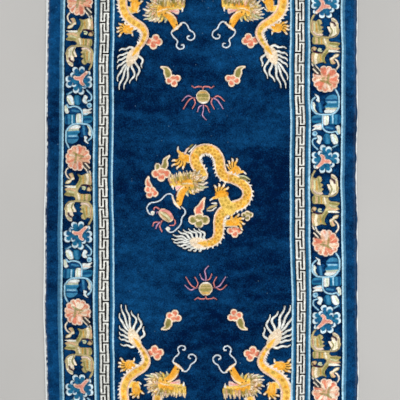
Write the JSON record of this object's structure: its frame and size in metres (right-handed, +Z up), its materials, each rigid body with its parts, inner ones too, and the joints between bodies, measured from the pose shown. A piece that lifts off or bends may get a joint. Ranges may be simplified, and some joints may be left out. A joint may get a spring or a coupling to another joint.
{
  "type": "knotted dragon rug",
  "caption": "Flat hand-knotted wool rug with a navy dragon field, key-fret and flower borders and overcast side cords, to lie on a floor.",
  "frame": {"origin": "on the floor, under the middle of the rug's bounding box", "axes": "+Z up out of the pile, +Y along the rug's length, +X across its width"},
  "size_m": [0.915, 1.755, 0.012],
  "materials": {
    "wool_pile": "cut wool pile, matte with a soft sheen",
    "edge_cotton": "overcast cotton yarn, matte"
  },
  "bodies": {
    "root": {"rug_body": "wool_pile", "side_cord_left": "edge_cotton", "side_cord_right": "edge_cotton"}
  },
  "joints": []
}
